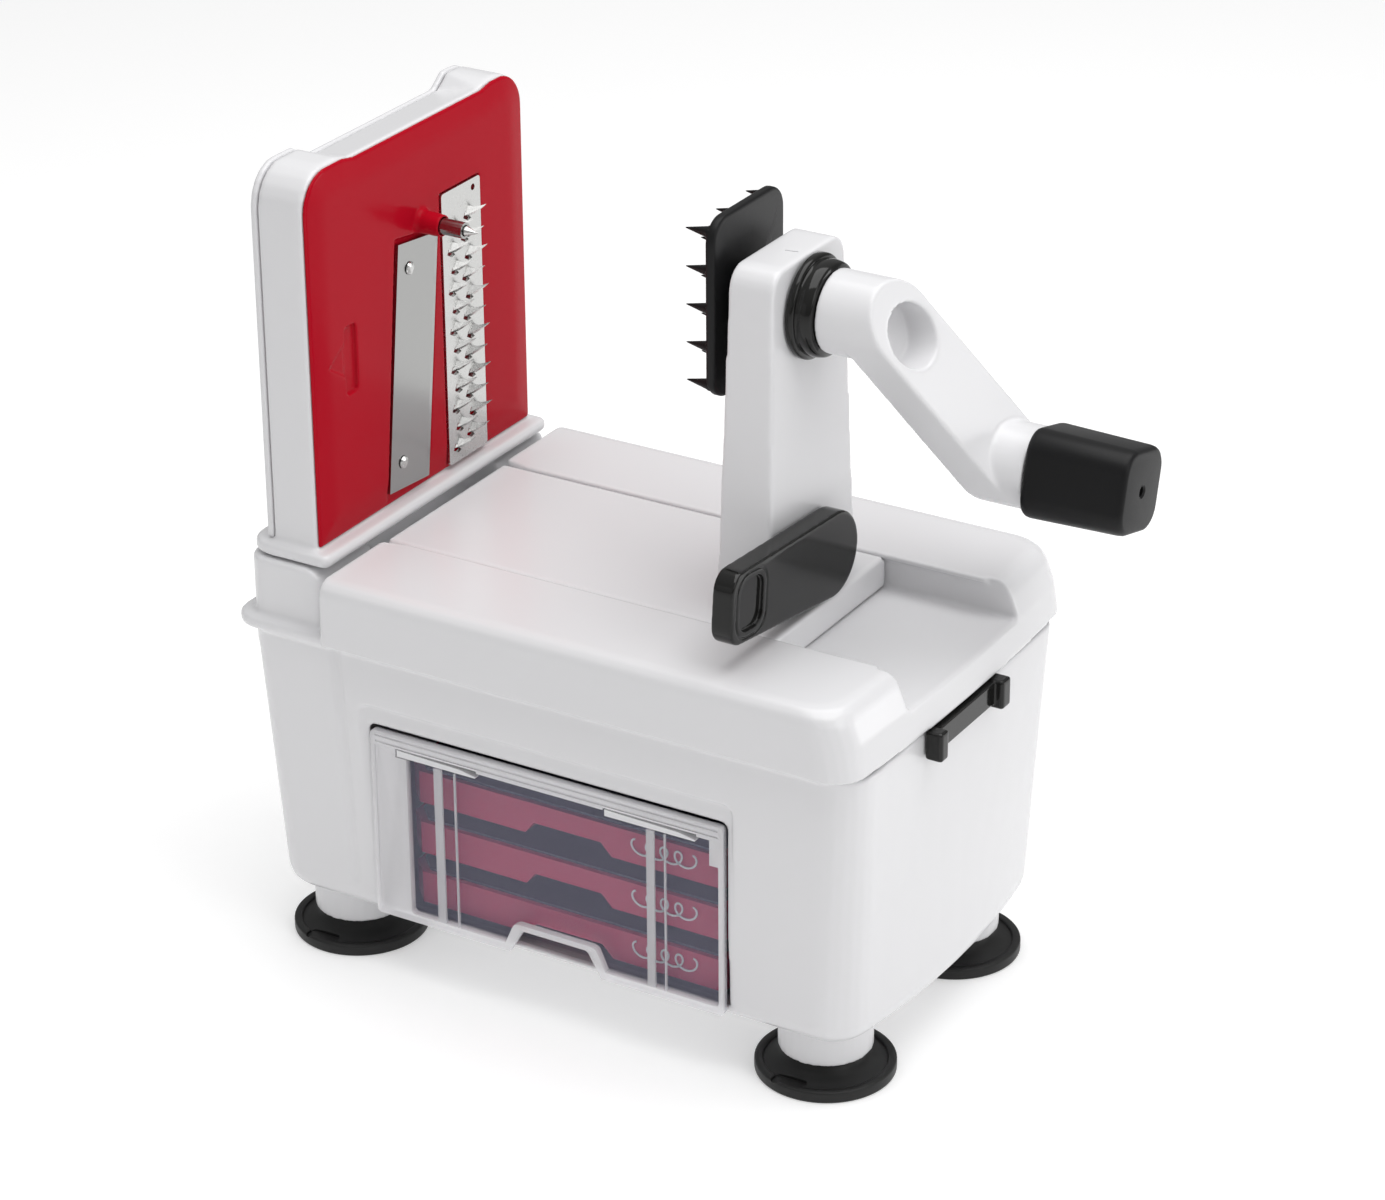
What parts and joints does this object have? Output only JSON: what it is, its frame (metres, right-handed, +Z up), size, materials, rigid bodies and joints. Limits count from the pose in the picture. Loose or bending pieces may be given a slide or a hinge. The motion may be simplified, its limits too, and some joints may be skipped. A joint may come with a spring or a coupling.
{
  "type": "rotary vegetable slicer",
  "caption": "Hand-crank spiral vegetable slicer: blade panel, sliding carriage with spiked pusher and crank, and a storage drawer, on suction feet.",
  "frame": {"origin": "under the middle of the whole object, on the surface it stands on", "axes": "+X along the crank axis, from the blade panel to the crank; +Y away from the drawer; +Z up"},
  "size_m": [0.274, 0.1468, 0.2716],
  "materials": {
    "white_plastic": "glossy moulded white",
    "red_plastic": "glossy moulded red",
    "gloss_black_plastic": "glossy black",
    "satin_black_plastic": "satin black",
    "rubber": "matt black",
    "stainless_steel": "bright",
    "clear_plastic": "clear"
  },
  "bodies": {
    "base": {"base_housing": "white_plastic", "top_cover": "white_plastic", "crank_clip": "gloss_black_plastic", "suction_cup_1": "rubber", "suction_cup_2": "rubber", "suction_cup_3": "rubber", "suction_cup_4": "rubber", "foot_boss_1": "white_plastic", "foot_boss_2": "white_plastic", "foot_boss_3": "white_plastic", "foot_boss_4": "white_plastic", "cover_screw_1": "stainless_steel", "cover_screw_2": "stainless_steel", "cover_screw_3": "stainless_steel", "cover_screw_4": "stainless_steel", "panel_frame": "white_plastic", "panel_rear_cover": "white_plastic", "panel_screw_1": "stainless_steel", "panel_screw_2": "stainless_steel", "panel_screw_3": "stainless_steel", "panel_screw_4": "stainless_steel"},
    "cassette": {"blade_cassette": "red_plastic", "straight_blade": "stainless_steel", "blade_rivet_1": "stainless_steel", "blade_rivet_2": "stainless_steel", "comb_blade": "stainless_steel", "corer_tube": "stainless_steel", "corer_spike": "stainless_steel"},
    "drawer": {"drawer_front": "clear_plastic", "drawer_tray": "clear_plastic", "drawer_catch_1": "white_plastic", "drawer_catch_2": "white_plastic", "spare_cassette_1": "red_plastic", "spare_cassette_2": "red_plastic", "spare_cassette_3": "red_plastic", "spare_blade_1": "stainless_steel", "spare_blade_2": "stainless_steel", "spare_blade_3": "stainless_steel"},
    "carriage": {"carriage_plate": "white_plastic", "tower_shell": "white_plastic", "tower_cover": "white_plastic", "tower_screw_1": "stainless_steel", "tower_screw_2": "stainless_steel", "rear_bush": "gloss_black_plastic", "front_bush": "gloss_black_plastic", "lever_pin": "stainless_steel"},
    "lever": {"push_lever": "gloss_black_plastic"},
    "crank": {"crank_arm": "white_plastic", "spindle": "stainless_steel", "pusher_plate": "satin_black_plastic", "knob_axle": "stainless_steel"},
    "knob": {"knob_grip": "satin_black_plastic"}
  },
  "joints": [
    {"name": "carriage_travel", "type": "slide", "parent": "base", "child": "carriage", "axis": [1, 0, 0], "range_m": [-0.084, 0.046]},
    {"name": "crank_turn", "type": "hinge", "parent": "carriage", "child": "crank", "pos_m": [0.0459, 0, 0.2376], "axis": [1, 0, 0], "continuous": true},
    {"name": "knob_turn", "type": "hinge", "parent": "crank", "child": "knob", "pos_m": [0.103, 0.02812, 0.18687], "axis": [1, 0, 0], "continuous": true},
    {"name": "lever_swing", "type": "hinge", "parent": "carriage", "child": "lever", "pos_m": [0.0395, 0, 0.1559], "axis": [-1, 0, 0], "range_deg": [0, 60]},
    {"name": "drawer_slide", "type": "slide", "parent": "base", "child": "drawer", "axis": [0, -1, 0], "range_m": [0, 0.11]},
    {"name": "cassette_release", "type": "slide", "parent": "base", "child": "cassette", "axis": [1, 0, 0], "range_m": [0, 0.02]}
  ]
}
